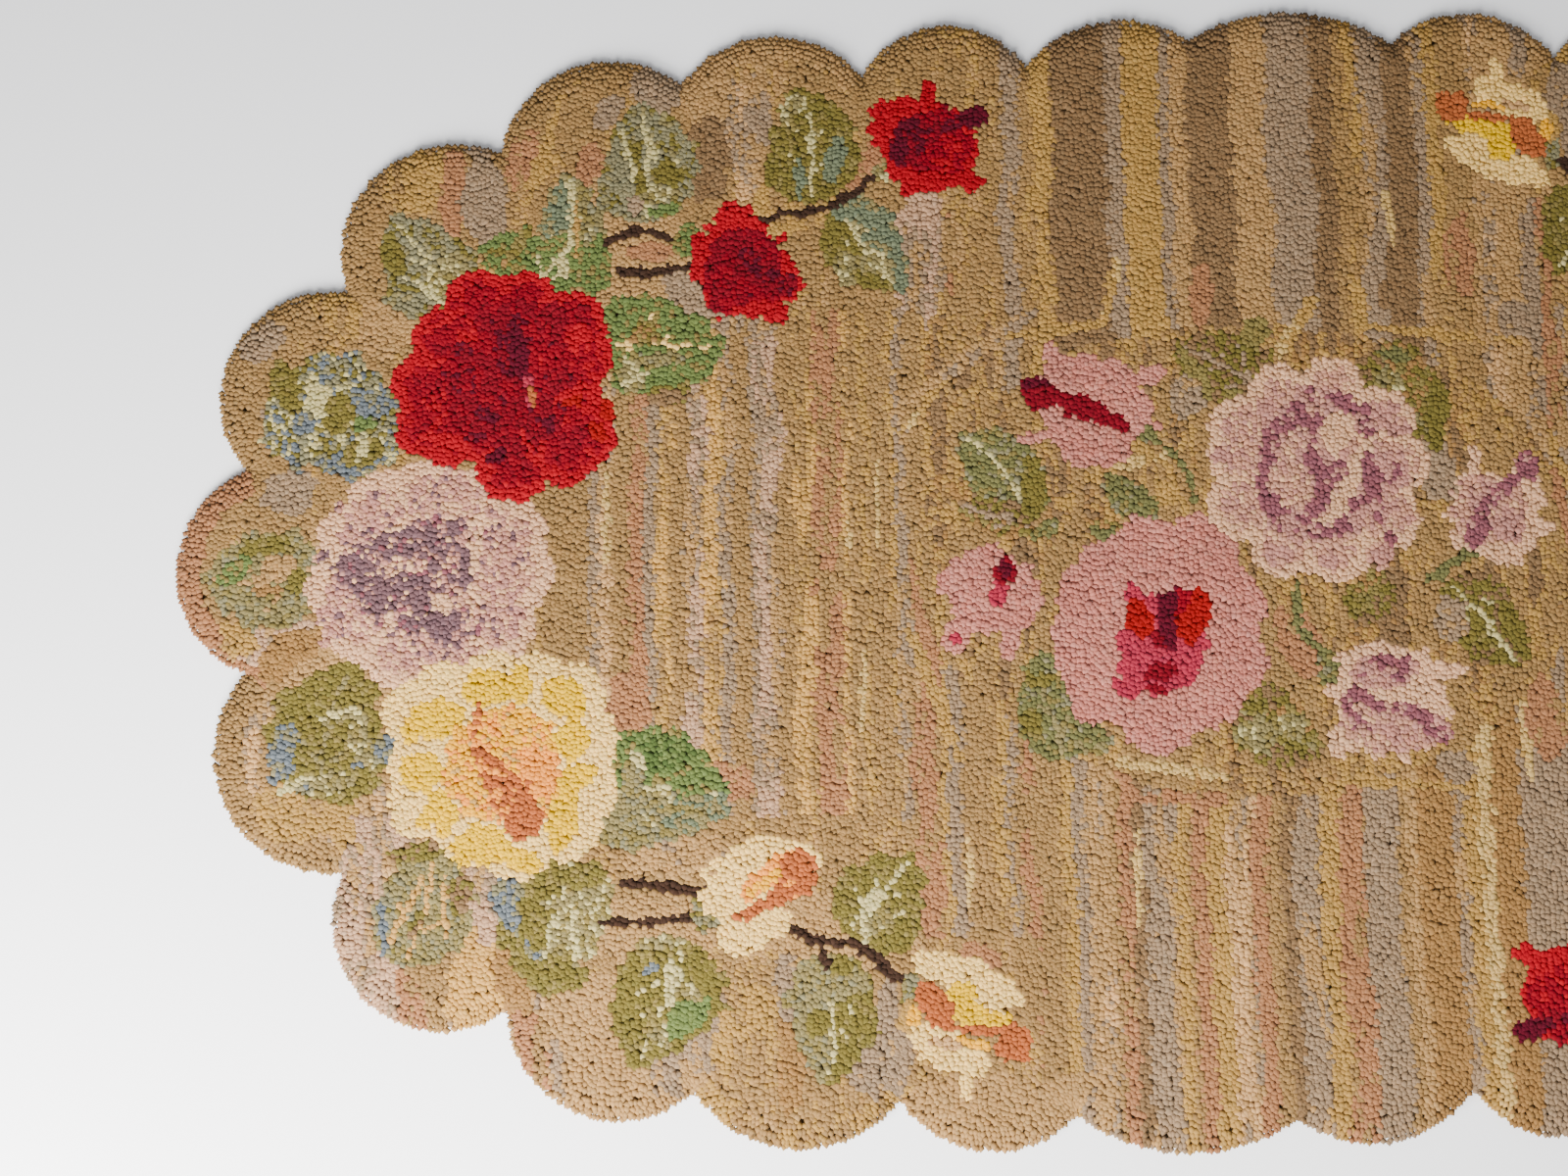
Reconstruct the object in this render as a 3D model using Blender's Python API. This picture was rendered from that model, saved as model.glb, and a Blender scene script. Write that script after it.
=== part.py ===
"""Hooked wool rug with a scalloped edge, lying flat: one piece of cloth with a dense looped pile.

Metres, +Z up. The rug lies on z = 0 with its middle at x = y = 0 and its length along X.
"""

import math

import bpy
import numpy as np
from mathutils.geometry import delaunay_2d_cdt

MM = 0.001
PILE_TOP = 8.0 * MM  # height of the pile where it meets the rounded edge
CROWN = 0.7 * MM  # how much higher the pile stands away from the edge
CROWN_RUN = 60 * MM  # distance from the edge over which it rises
UNEVENNESS = 0.35 * MM  # swing of the hand-hooked top
ARC_STEPS = 12  # points along each scallop
TOP_SPACING = 60 * MM  # between the points of the top

# A row for each scallop of the left half, from the middle of the far side round the left end to the
# middle of the near side. The right half is the same turned half round. Millimetres.
# notch_x, notch_y: where the scallop starts; rise: how far it stands out from the straight line to
# the next notch.
SCALLOPS = (
    (-25, 391, 25.5),
    (-147, 370, 37.0),
    (-269, 361, 35.5),
    (-404, 356, 42.7),
    (-537, 302, 52.6),
    (-646, 195, 54.3),
    (-714, 63, 51.2),
    (-709, -83, 54.1),
    (-635, -224, 57.4),
    (-519, -317, 45.2),
    (-389, -372, 36.4),
    (-248, -377, 29.8),
    (-127, -388, 23.8),
)

# A row for each ring of the rounded edge, from the underside up. Millimetres.
# inset: how far the ring lies inside the outline; height: above the floor.
EDGE_RINGS = (
    (2.6, 0.0),
    (0.5, 1.2),
    (0.0, 4.0),
    (1.6, 6.8),
    (5.0, 8.0),
)


def arc(start, end, rise):
    """Points of a circular arc from start up to, but without, end, bulging to the right of the way."""
    chord = end - start
    length = math.hypot(*chord)
    outward = np.array((chord[1], -chord[0])) / length
    radius = (length**2 / 4 + rise**2) / (2 * rise)
    half_angle = math.asin(min(1.0, length / 2 / radius))
    if rise > length / 2:
        half_angle = math.pi - half_angle
    centre = (start + end) / 2 + outward * (rise - radius)
    angles = np.linspace(-half_angle, half_angle, ARC_STEPS, endpoint=False)
    along = chord / length
    return centre + radius * (np.outer(np.sin(angles), along) + np.outer(np.cos(angles), outward))


def outline():
    """The scalloped outline, anticlockwise from above."""
    rows = np.array(SCALLOPS) * MM
    notches = np.concatenate([rows[:, :2], -rows[:, :2]])
    rises = np.concatenate([rows[:, 2], rows[:, 2]])
    return np.concatenate(
        [arc(a, b, rise) for a, b, rise in zip(notches, np.roll(notches, -1, axis=0), rises)]
    )


def inset(points, distance):
    """The closed outline moved inwards, each point along the bisector of its two sides."""
    sides = np.roll(points, -1, axis=0) - points
    normals = np.stack([-sides[:, 1], sides[:, 0]], axis=1)
    normals /= np.linalg.norm(normals, axis=1, keepdims=True)
    bisectors = normals + np.roll(normals, 1, axis=0)
    bisectors /= np.linalg.norm(bisectors, axis=1, keepdims=True)
    return points + distance * bisectors


def top_points(rim):
    """The rim's points and a lattice inside them, with the gentle unevenness of a hand-hooked pile."""
    low, high = rim.min(axis=0), rim.max(axis=0)
    counts = np.round((high - low) / TOP_SPACING).astype(int)
    steps = [np.linspace(a, b, n + 1) for a, b, n in zip(low, high, counts)]
    lattice = np.stack(np.meshgrid(*steps), axis=-1).reshape(-1, 2)
    gaps = np.linalg.norm(lattice[:, None] - rim[None], axis=2).min(axis=1)
    inner = inside(lattice, rim) & (gaps > TOP_SPACING / 2)
    x, y = lattice[inner].T
    crown = CROWN * np.minimum(gaps[inner] / CROWN_RUN, 1.0)
    waves = UNEVENNESS * np.sin(x / 0.071 + 1.3) * np.cos(y / 0.083 + 0.4)
    heights = np.concatenate([np.full(len(rim), PILE_TOP), PILE_TOP + crown + waves])
    return np.concatenate([rim, lattice[inner]]), heights


def inside(points, ring):
    """Whether each point lies in the ring, by counting the sides that a line to its right crosses."""
    x, y = points[:, 0, None], points[:, 1, None]
    (ax, ay), (bx, by) = ring.T, np.roll(ring, -1, axis=0).T
    spans = (ay > y) != (by > y)
    rise = np.where(by == ay, 1.0, by - ay)
    crossing = ax + (y - ay) * (bx - ax) / rise
    return (spans & (x < crossing)).sum(axis=1) % 2 == 1


def filled(points, rim_count):
    """Triangles that fill the ring of the first rim_count points, through all the points."""
    rim = [(i, (i + 1) % rim_count) for i in range(rim_count)]
    _, _, faces, sources, _, _ = delaunay_2d_cdt(points.tolist(), rim, [], 1, 1e-7)
    return [[sources[v][0] for v in face] for face in faces]


def rug_mesh():
    """The closed mesh: a flat underside, a rounded scalloped edge and a slightly uneven pile."""
    edge = outline()
    count = len(edge)
    rings = [inset(edge, gap * MM) for gap, _ in EDGE_RINGS]
    points = [
        np.column_stack([ring, np.full(count, height * MM)])
        for ring, (_, height) in zip(rings, EDGE_RINGS)
    ]
    top, heights = top_points(rings[-1])
    last = (len(rings) - 1) * count
    points = np.concatenate([*points[:-1], np.column_stack([top, heights])])
    faces = [face[::-1] for face in filled(rings[0], count)]
    for level in range(len(rings) - 1):
        for i in range(count):
            a, b = level * count + i, level * count + (i + 1) % count
            faces.append([a, b, b + count, a + count])
    faces += [[last + v for v in face] for face in filled(top, count)]
    mesh = bpy.data.meshes.new("hooked_rug")
    mesh.from_pydata(points.tolist(), [], faces)
    mesh.validate()
    return mesh


def wool_pile():
    """Matt wool yarn, in the tan that most of the ground has."""
    material = bpy.data.materials.new("wool_pile")
    material.use_nodes = True
    shader = material.node_tree.nodes["Principled BSDF"]
    shader.inputs["Base Color"].default_value = (0.43, 0.27, 0.13, 1)
    shader.inputs["Roughness"].default_value = 0.95
    shader.inputs["Metallic"].default_value = 0.0
    return material


def hooked_rug():
    """The rug, one solid."""
    rug = bpy.data.objects.new("hooked_rug", rug_mesh())
    rug.data.materials.append(wool_pile())
    bpy.context.scene.collection.objects.link(rug)


for old in list(bpy.data.objects):
    bpy.data.objects.remove(old)
hooked_rug()
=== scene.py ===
"""Looks of a hooked wool rug with a scalloped edge, lying flat on a pale floor.

The pile is made of single loops of wool, each with the colour of its yarn, hooked through a foundation
cloth whose hem is turned under. Lengths in the tables are millimetres about the rug's middle, +X along
the rug and +Y away from the viewer.
"""

import math

import bpy
import numpy as np
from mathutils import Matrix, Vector
from mathutils.geometry import delaunay_2d_cdt


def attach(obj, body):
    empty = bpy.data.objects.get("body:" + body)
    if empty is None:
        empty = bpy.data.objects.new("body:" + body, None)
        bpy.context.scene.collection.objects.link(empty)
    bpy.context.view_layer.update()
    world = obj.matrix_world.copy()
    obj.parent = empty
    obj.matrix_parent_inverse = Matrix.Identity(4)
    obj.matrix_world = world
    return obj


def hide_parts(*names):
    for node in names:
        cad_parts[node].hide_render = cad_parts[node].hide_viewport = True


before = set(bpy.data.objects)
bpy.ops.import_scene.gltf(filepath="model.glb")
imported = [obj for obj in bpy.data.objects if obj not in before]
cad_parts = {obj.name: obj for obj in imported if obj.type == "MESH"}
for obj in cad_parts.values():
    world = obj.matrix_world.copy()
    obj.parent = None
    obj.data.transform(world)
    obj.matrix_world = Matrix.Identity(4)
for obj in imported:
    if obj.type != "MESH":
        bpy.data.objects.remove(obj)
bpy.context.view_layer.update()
MM = 0.001

# Shape

# A row for each scallop of the left half, from the middle of the far side round the left end to the
# middle of the near side; the right half is the same turned half round. The rises come from circles
# that were fitted by least squares to the edge in the photo.
# notch_x, notch_y: where the scallop starts; rise: how far it stands out from the line to the next.
SCALLOPS = (
    (-25, 391, 25.5),
    (-147, 370, 37.0),
    (-269, 361, 35.5),
    (-404, 356, 42.7),
    (-537, 302, 52.6),
    (-646, 195, 54.3),
    (-714, 63, 51.2),
    (-709, -83, 54.1),
    (-635, -224, 57.4),
    (-519, -317, 45.2),
    (-389, -372, 36.4),
    (-248, -377, 29.8),
    (-127, -388, 23.8),
)

FOUNDATION_TOP = 2.0
PILE_HEIGHT = 8.5
ROW_PITCH = 3.2  # between the rows of hooking
LOOP_PITCH = 3.3  # between the loops of a row
LOOPS_HALF_X, LOOPS_HALF_Y = 770, 425  # half sizes of the lattice of loops, a little past the outline
BACK_HALF_X, BACK_HALF_Y = 760, 410  # half sizes of the lattice of points on the cloth's underside
BACK_PITCH = 9.0  # between those points
PILE_SEED, BACK_SEED = 5, 7  # of the random draws of the pile and of the back

# A row for each row of hooking that follows the edge, from the outside in.
# inset: from the outline; pitch: along the row; half_out, half_along: the loop's half sizes away
# from the edge and along it; height: of its top; lean: how far its top leans out.
EDGE_ROWS = (
    (2.6, 3.0, 3.0, 2.7, 5.8, 1.5),
    (5.7, 3.1, 3.1, 2.8, 7.1, 1.2),
    (8.9, 3.2, 3.2, 2.9, 7.9, 0.8),
    (12.2, 3.2, 3.3, 3.0, 8.3, 0.4),
    (15.5, 3.3, 3.4, 3.1, 8.5, 0.2),
)

# Pile pieces: the rug is hooked in six fields.
FIELD_EDGES_X = (-800, -256, 256, 800)
FIELD_NAMES = (
    ("pile_left_near", "pile_middle_near", "pile_right_near"),
    ("pile_left_far", "pile_middle_far", "pile_right_far"),
)

# Wools

WOOLS = {
    "tan": "#7c5f39",
    "brown": "#674f35",
    "gold": "#8d6c38",
    "mauve": "#79634c",
    "dusty pink": "#98765b",
    "peach": "#8c6b42",
    "honey": "#a27a40",
    "pale peach": "#a27c51",
    "rust": "#855a3c",
    "ecru": "#a3854f",
    "caramel": "#7b5a33",
    "bright red": "#880716",
    "red": "#6f0716",
    "orange red": "#7c0d0e",
    "crimson": "#620a17",
    "maroon": "#480c1a",
    "rose pink": "#8a2435",
    "pink": "#9b5f53",
    "pale pink": "#9f6659",
    "cream": "#c9a45e",
    "bone": "#b58a69",
    "yellow": "#bf9500",
    "apricot": "#c68b1a",
    "coral": "#8e4a27",
    "salmon": "#c6772c",
    "blush": "#a1735f",
    "plum": "#6f4046",
    "dusk": "#5c4346",
    "lilac": "#98695e",
    "olive": "#5a5024",
    "moss": "#685b31",
    "green": "#4f5b30",
    "dull green": "#565431",
    "forest": "#3c4a25",
    "sage": "#6b603d",
    "grey green": "#686248",
    "teal": "#565c46",
    "blue": "#52575a",
    "straw": "#9c9060",
    "stem brown": "#2f2018",
}
WOOL_NAMES = list(WOOLS)

# Blends: the yarns that lie side by side where the rug is mottled, with their shares.
BLENDS = {
    "centre ground": (("tan", 0.5), ("gold", 0.25), ("caramel", 0.1), ("brown", 0.15)),
    "end ground": (("tan", 0.8), ("gold", 0.12), ("peach", 0.08)),
    "mauve mix": (("mauve", 0.8), ("peach", 0.2)),
    "dusty mix": (("dusty pink", 0.6), ("mauve", 0.25), ("peach", 0.15)),
    "peach mix": (("peach", 0.6), ("mauve", 0.22), ("pale peach", 0.18)),
    "pale mix": (("pale peach", 0.5), ("peach", 0.3), ("mauve", 0.2)),
    "rust mix": (("rust", 0.75), ("tan", 0.25)),
    "gold mix": (("gold", 0.75), ("tan", 0.25)),
    "honey mix": (("honey", 0.55), ("gold", 0.25), ("tan", 0.2)),
    "ecru mix": (("ecru", 0.75), ("gold", 0.25)),
    "red mix": (("bright red", 0.3), ("red", 0.7)),
    "deep red mix": (("red", 0.62), ("crimson", 0.38)),
    "crimson mix": (("crimson", 0.55), ("red", 0.4), ("maroon", 0.05)),
    "maroon mix": (("maroon", 0.55), ("crimson", 0.45)),
    "lavender petal": (("bone", 0.4), ("blush", 0.4), ("lilac", 0.2)),
    "lavender haze": (("blush", 0.3), ("lilac", 0.52), ("dusk", 0.08), ("bone", 0.1)),
    "lavender core": (("dusk", 0.4), ("plum", 0.1), ("lilac", 0.24), ("blush", 0.1), ("bone", 0.16)),
    "lavender dark": (("dusk", 0.86), ("plum", 0.05), ("lilac", 0.04), ("bone", 0.05)),
    "yellow heart": (("apricot", 0.66), ("salmon", 0.26), ("honey", 0.08)),
    "coral mix": (("coral", 0.75), ("salmon", 0.25)),
    "pink petal": (("pink", 0.62), ("pale pink", 0.38)),
    "pink rim": (("pale pink", 0.8), ("pink", 0.2)),
    "lilac petal": (("blush", 0.6), ("bone", 0.2), ("lilac", 0.2)),
    "lilac mix": (("lilac", 0.75), ("blush", 0.25)),
    "plum mix": (("plum", 0.72), ("lilac", 0.28)),
    "grey leaf": (("grey green", 0.6), ("sage", 0.2), ("olive", 0.2)),
    "olive leaf": (("olive", 0.76), ("moss", 0.24)),
    "sage leaf": (("sage", 0.6), ("moss", 0.2), ("grey green", 0.2)),
    "green leaf": (("green", 0.75), ("moss", 0.25)),
    "dull leaf": (("dull green", 0.6), ("moss", 0.25), ("grey green", 0.15)),
    "forest leaf": (("forest", 0.6), ("green", 0.4)),
    "teal leaf": (("teal", 0.55), ("sage", 0.45)),
    "blue leaf": (("blue", 0.65), ("grey green", 0.35)),
    "mottled leaf": (("grey green", 0.36), ("olive", 0.26), ("blue", 0.2), ("straw", 0.18)),
    "pale leaf": (("sage", 0.5), ("straw", 0.25), ("moss", 0.25)),
    "faded leaf": (("caramel", 0.3), ("moss", 0.4), ("olive", 0.3)),
    "dark leaf": (("olive", 0.55), ("brown", 0.45)),
}
FINE_BLENDS = (
    "lavender petal", "lavender haze", "lavender core", "lavender dark", "lilac petal", "pink petal",
    "mottled leaf", "yellow heart", "grey leaf", "olive leaf", "sage leaf", "green leaf", "dull leaf",
    "forest leaf", "teal leaf", "blue leaf", "pale leaf", "faded leaf", "dark leaf",
)

# Ground

RIGHT_START = 226  # beyond this x the ground is that of the left end, turned half round
LEFT_FROM, LEFT_TO, LEFT_HALF_WIDTH = -500, -175, 182  # where the stripes left of the middle lie
FAR_FROM, NEAR_FROM = -172, -236  # x at which the far and the near stripes start
CORNER_X, CORNER_Y = -150, -268  # the near stripes leave out what is both left of and below these
RING_X, RING_HALF_LENGTH, RING_HALF_WIDTH = 5, 238, 172  # the ground inside the middle ring
GROUND_SEED, END_SEED, MIDDLE_SEED = 11, 12, 15  # of the charts of the ground, the ends and the middle

# Abrash stripes of the ground, worked across the rug. A row for each stripe: start_x and blend.
FAR_STRIPES = (
    (-260, "tan"), (-168, "mauve mix"), (-156, "tan"), (-147, "gold mix"), (-131, "brown"),
    (-90, "mauve"), (-77, "gold"), (-50, "mauve"), (-42, "peach"), (-29, "brown"), (4, "peach"),
    (30, "mauve"), (63, "brown"), (79, "tan"), (88, "gold mix"), (98, "mauve mix"),
    (117, "brown"), (138, "mauve mix"), (147, "gold mix"), (158, "tan"), (180, "peach mix"),
    (196, "peach"), (214, "mauve mix"),
)
LEFT_STRIPES = (
    (-560, "tan"), (-466, "mauve mix"), (-460, "pale mix"), (-451, "tan"), (-438, "rust mix"),
    (-427, "mauve"), (-420, "honey mix"), (-410, "tan"), (-397, "dusty mix"), (-385, "honey mix"),
    (-373, "mauve mix"), (-364, "tan"), (-351, "mauve"), (-347, "dusty mix"), (-331, "tan"),
    (-320, "honey mix"), (-306, "rust mix"), (-286, "honey mix"), (-281, "tan"), (-272, "gold mix"),
    (-266, "tan"), (-252, "gold mix"), (-247, "mauve mix"), (-240, "tan"), (-226, "gold"),
    (-221, "centre ground"),
)
NEAR_STRIPES = (
    (-260, "rust mix"), (-215, "gold"), (-210, "mauve"), (-200, "tan"),
    (-178, "gold mix"), (-168, "mauve"), (-163, "tan"), (-158, "rust mix"), (-150, "tan"),
    (-131, "gold"), (-122, "mauve"), (-114, "peach"), (-106, "peach mix"), (-96, "tan"),
    (-92, "rust mix"), (-82, "brown"), (-74, "mauve mix"), (-53, "gold"), (-44, "tan"),
    (-40, "rust"), (-30, "gold"), (-17, "pale mix"), (1, "rust"), (12, "tan"), (22, "brown"),
    (31, "mauve mix"), (48, "gold"), (62, "rust mix"), (80, "mauve"), (104, "tan"),
    (110, "peach"), (118, "caramel"), (143, "mauve mix"), (151, "gold"), (161, "ecru mix"),
    (171, "caramel"), (191, "mauve"),
)

# Bands that follow a scallop's rim, a row for each scallop of the left half in the order above.
# rim, rim_width, second, second_width: blends and how wide they are; no second where it is None.
RIM_BANDS = (
    (None, 0, None, 0),
    (None, 0, None, 0),
    ("peach", 16, None, 0),
    ("tan", 16, None, 0),
    ("tan", 26, None, 0),
    ("tan", 32, None, 0),
    ("rust", 17, "tan", 14),
    ("tan", 20, "peach mix", 12),
    ("peach mix", 26, None, 0),
    ("peach", 44, None, 0),
    ("gold mix", 14, None, 0),
    ("peach", 30, None, 0),
    (None, 0, None, 0),
)

# Fields of one wool in the ground of the left end, in the order that they are laid.
# blend, x, y, half_length, half_width, turn
END_FIELDS = (
    ("gold mix", -600, 280, 26, 22, 60),
    ("rust", -572, 270, 9, 38, 0),
    ("mauve", -548, 262, 17, 42, 10),
    ("rust mix", -520, 296, 13, 22, -10),
    ("gold", -498, 312, 9, 50, -22),
    ("tan", -480, 330, 16, 34, -20),
    ("mauve", -457, 336, 9, 16, -40),
    ("mauve", -420, 352, 20, 18, -20),
    ("rust mix", -470, 285, 12, 26, 0),
    ("peach", -450, 258, 30, 30, 0),
    ("peach", -430, 225, 46, 42, 0),
    ("rust mix", -426, 227, 20, 7, 0),
    ("peach", -385, 345, 20, 26, 0),
    ("brown", -384, 300, 17, 34, 0),
    ("peach mix", -356, 312, 12, 52, 6),
    ("mauve mix", -345, 340, 10, 30, 6),
    ("gold mix", -322, 265, 30, 26, 10),
    ("rust mix", -268, 292, 9, 22, -30),
    ("dusty mix", -226, 226, 22, 50, 0),
    ("rust mix", -206, 225, 4, 34, 0),
    ("tan", -262, 350, 16, 20, 0),
    ("mauve mix", -388, 190, 34, 14, -35),
    ("mauve", -706, 158, 20, 12, 40),
    ("gold mix", -652, 180, 14, 26, 50),
    ("peach", -618, 170, 22, 24, 0),
    ("mauve mix", -693, 92, 7, 26, 30),
    ("mauve", -684, 46, 20, 16, 20),
    ("dusty mix", -690, -60, 28, 13, 20),
    ("gold mix", -716, -60, 16, 10, -40),
    ("caramel", -672, -72, 30, 18, 20),
    ("peach", -640, -88, 46, 26, 10),
    ("gold mix", -680, -182, 26, 18, -30),
    ("gold", -630, -190, 26, 20, -30),
    ("peach mix", -612, -180, 16, 24, 30),
    ("dusty mix", -616, -270, 26, 66, 10),
    ("dusty mix", -600, -200, 30, 14, -20),
    ("rust mix", -582, -298, 14, 30, 0),
    ("tan", -566, -302, 14, 28, 0),
    ("honey", -540, -300, 20, 36, -10),
    ("honey mix", -545, -268, 20, 12, 0),
    ("dusty mix", -535, -240, 14, 34, 10),
    ("caramel", -514, -300, 12, 34, 14),
    ("rust mix", -495, -345, 14, 30, 30),
    ("peach", -460, -335, 34, 40, 0),
    ("mauve mix", -482, -358, 5, 22, 10),
    ("peach", -425, -262, 60, 22, 0),
    ("peach mix", -400, -212, 40, 16, 0),
    ("rust", -437, -108, 16, 24, 0),
    ("rust mix", -365, -160, 18, 14, -20),
    ("mauve mix", -392, -340, 20, 40, -30),
    ("gold mix", -352, -340, 22, 46, 0),
    ("caramel", -322, -350, 9, 44, 0),
    ("mauve mix", -325, -300, 9, 30, 5),
    ("peach", -300, -262, 48, 24, -15),
    ("mauve mix", -262, -350, 24, 26, 25),
    ("mauve", -258, -322, 8, 24, -10),
    ("peach", -190, -385, 48, 24, 5),
    ("rust mix", -188, -285, 20, 10, -30),
    ("ecru", -455, 30, 3, 38, 0),
    ("ecru", -271, -95, 2.4, 36, 0),
    ("ecru", -260, 38, 2.4, 34, 0),
    ("ecru", -281, 14, 2, 16, 0),
    ("ecru mix", -198, -222, 3, 28, 0),
)

# The same for the ground round the middle.
CENTRE_FIELDS = (
    ("peach", -205, 140, 60, 5, 38),
    ("mauve mix", -185, 152, 52, 4, 36),
    ("ecru mix", -228, 108, 26, 3, 48),
    ("gold", -128, 168, 44, 4, 8),
    ("ecru mix", -50, -152, 46, 4, -8),
    ("ecru mix", 44, 168, 5, 26, -30),
    ("gold", 150, 165, 60, 4, -6),
    ("peach", 205, 150, 34, 5, -30),
    ("gold", 105, -162, 44, 4, -3),
    ("mauve mix", 145, -150, 14, 12, -30),
    ("mauve", 145, 62, 14, 24, 10),
    ("mauve mix", -238, -60, 5, 40, 8),
    ("gold", -222, -95, 5, 52, 20),
    ("ecru mix", 196, -128, 4, 30, 4),
    ("rust mix", 40, -62, 16, 30, 20),
    ("rust mix", 212, -118, 14, 32, 0),
    ("rust mix", -45, -172, 40, 5, 0),
    ("mauve mix", 205, 176, 20, 14, 0),
    ("ecru mix", -80, -228, 2.6, 34, 0),
    ("ecru mix", -88, 200, 4, 28, -12),
    ("ecru mix", 118, 252, 3, 24, 6),
    ("ecru mix", 58, 185, 3, 12, -15),
    ("rust mix", -22, 195, 9, 24, -8),
    ("rust mix", 168, 225, 12, 34, 0),
    ("brown", 122, 205, 12, 22, -20),
    ("ecru mix", -70, 70, 20, 4, 14),
    ("gold", -125, 40, 8, 6, 0),
    ("gold mix", -60, 48, 16, 10, -30),
)

# Motifs

# Petals of each rose, a row each: angle from the rose's middle, reach and radius.
ROSES = {
    "red": ((-528, 125), 60, (
        (110, 65, 27), (81, 62, 26), (46, 64, 26), (23, 59, 23), (-4, 42, 26), (-36, 62, 28),
        (-48, 63, 26), (-85, 59, 27), (-142, 53, 27), (-154, 66, 23), (179, 60, 25), (143, 58, 26),
    )),
    "lavender": ((-580, -10), 56, (
        (97, 56, 26), (128, 60, 26), (158, 62, 26), (-168, 66, 25), (-142, 62, 27), (-110, 62, 28),
        (-72, 60, 27), (-38, 60, 28), (-4, 60, 28), (25, 58, 30), (62, 54, 26),
    )),
    "yellow": ((-526, -148), 56, (
        (150, 68, 26), (132, 66, 24), (98, 54, 26), (66, 58, 26), (44, 66, 26), (16, 58, 26),
        (-16, 58, 27), (-42, 62, 27), (-76, 56, 28), (-116, 50, 26), (-152, 60, 26), (-176, 56, 24),
    )),
    "pink": ((-60, -55), 58, (
        (128, 54, 26), (150, 54, 27), (178, 48, 29), (-163, 50, 28), (-136, 54, 27), (-92, 57, 29),
        (-52, 52, 28), (-22, 53, 27), (22, 55, 26), (62, 66, 28), (97, 60, 26),
    )),
    "lilac": ((54, 66), 58, (
        (174, 52, 24), (150, 58, 24), (112, 54, 26), (74, 60, 24), (34, 60, 26), (2, 58, 26),
        (-36, 62, 26), (-76, 60, 26), (-112, 58, 27), (-150, 58, 27),
    )),
}

TO_THE_MIDDLE = 999  # deeper than any rose is

# What each rose is worked in, from the rim inwards: blend and the depth from the rim at which it ends.
ROSE_BANDS = {
    "red": (("bright red", 9), ("red mix", 15), ("deep red mix", TO_THE_MIDDLE)),
    "lavender": (("bone", 12), ("lavender petal", 30), ("lavender haze", TO_THE_MIDDLE)),
    "yellow": (("cream", TO_THE_MIDDLE),),
    "pink": (("pink rim", 6), ("pink petal", TO_THE_MIDDLE)),
    "lilac": (("bone", 9), ("lilac petal", TO_THE_MIDDLE)),
}

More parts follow.
